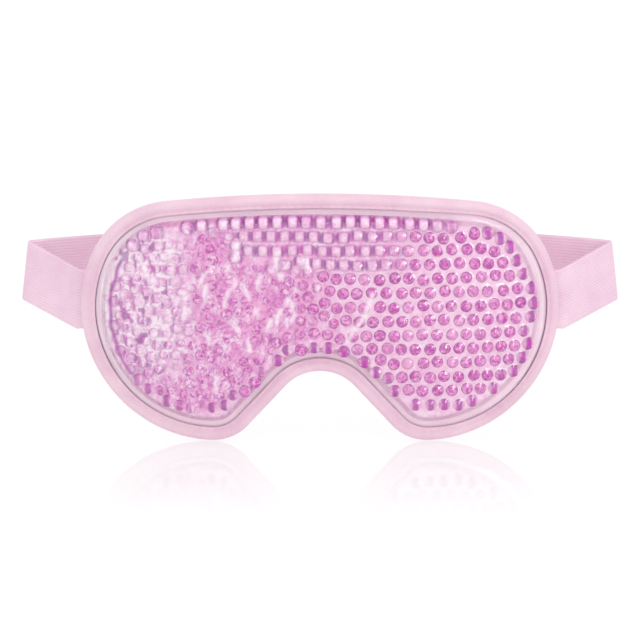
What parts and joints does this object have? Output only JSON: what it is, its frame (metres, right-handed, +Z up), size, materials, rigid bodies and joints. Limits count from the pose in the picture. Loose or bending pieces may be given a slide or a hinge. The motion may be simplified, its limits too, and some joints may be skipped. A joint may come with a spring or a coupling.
{
  "type": "gel bead eye mask",
  "caption": "Curved eye mask with a clear gel-bead pouch, bound fabric edge, nose arch, plush back and an elastic head strap that opens at the back.",
  "frame": {"origin": "centre of the plush surface that rests on the face, at the mask's middle height", "axes": "+X towards the mask's right-hand side as seen from the front, +Y backwards towards the wearer's head, +Z up; the gel pouch faces -Y"},
  "size_m": [0.2508, 0.0858, 0.105],
  "materials": {
    "plush": "soft short pile",
    "gel_film": "clear tinted soft PVC",
    "gel_bead": "soft translucent hydrogel",
    "clear_film": "clear glossy soft PVC",
    "binding": "satin-soft knitted tape",
    "thread": "twisted polyester thread",
    "elastic": "ribbed woven elastic",
    "hook": "moulded hook tape",
    "loop": "brushed loop pile"
  },
  "bodies": {
    "mask": {"plush_backing": "plush", "rear_film": "gel_film", "gel_beads": "gel_bead", "front_film": "clear_film", "edge_binding": "binding", "binding_needle_thread": "thread", "binding_bobbin_thread": "thread", "right_strap_end": "elastic", "right_seam_stitches": "thread", "left_strap_end": "elastic", "left_seam_stitches": "thread"},
    "right_side": {"right_strap_side": "elastic"},
    "right_rear": {"right_strap_rear": "elastic", "hook_tab_root": "hook", "hook_tab_stitches": "thread"},
    "tab": {"hook_tab": "hook"},
    "left_side": {"left_strap_side": "elastic"},
    "left_rear": {"left_strap_rear": "elastic", "loop_tape": "loop", "loop_tape_stitches": "thread"}
  },
  "joints": [
    {"name": "right_strap_swing", "type": "hinge", "parent": "mask", "child": "right_side", "pos_m": [0.1015, 0.01694, 0.004], "axis": [0, 0, -1], "range_deg": [0, 45]},
    {"name": "right_strap_unfold", "type": "hinge", "parent": "right_side", "child": "right_rear", "pos_m": [0.1245, 0.038, 0.0125], "axis": [0.107, -0.0584, -0.9925], "range_deg": [0, 95]},
    {"name": "hook_tab_peel", "type": "hinge", "parent": "right_rear", "child": "tab", "pos_m": [0.03191, 0.07352, 0.0125], "axis": [0, 0, -1], "range_deg": [0, 100]},
    {"name": "left_strap_swing", "type": "hinge", "parent": "mask", "child": "left_side", "pos_m": [-0.1015, 0.01694, 0.004], "axis": [0, 0, 1], "range_deg": [0, 22.5]},
    {"name": "left_strap_unfold", "type": "hinge", "parent": "left_side", "child": "left_rear", "pos_m": [-0.1245, 0.038, 0.0125], "axis": [0.107, 0.0584, 0.9925], "range_deg": [0, 47.5]}
  ],
  "couplings": [
    {"joint": "left_strap_swing", "follows": "right_strap_swing", "ratio": 0.5},
    {"joint": "left_strap_unfold", "follows": "right_strap_unfold", "ratio": 0.5}
  ]
}
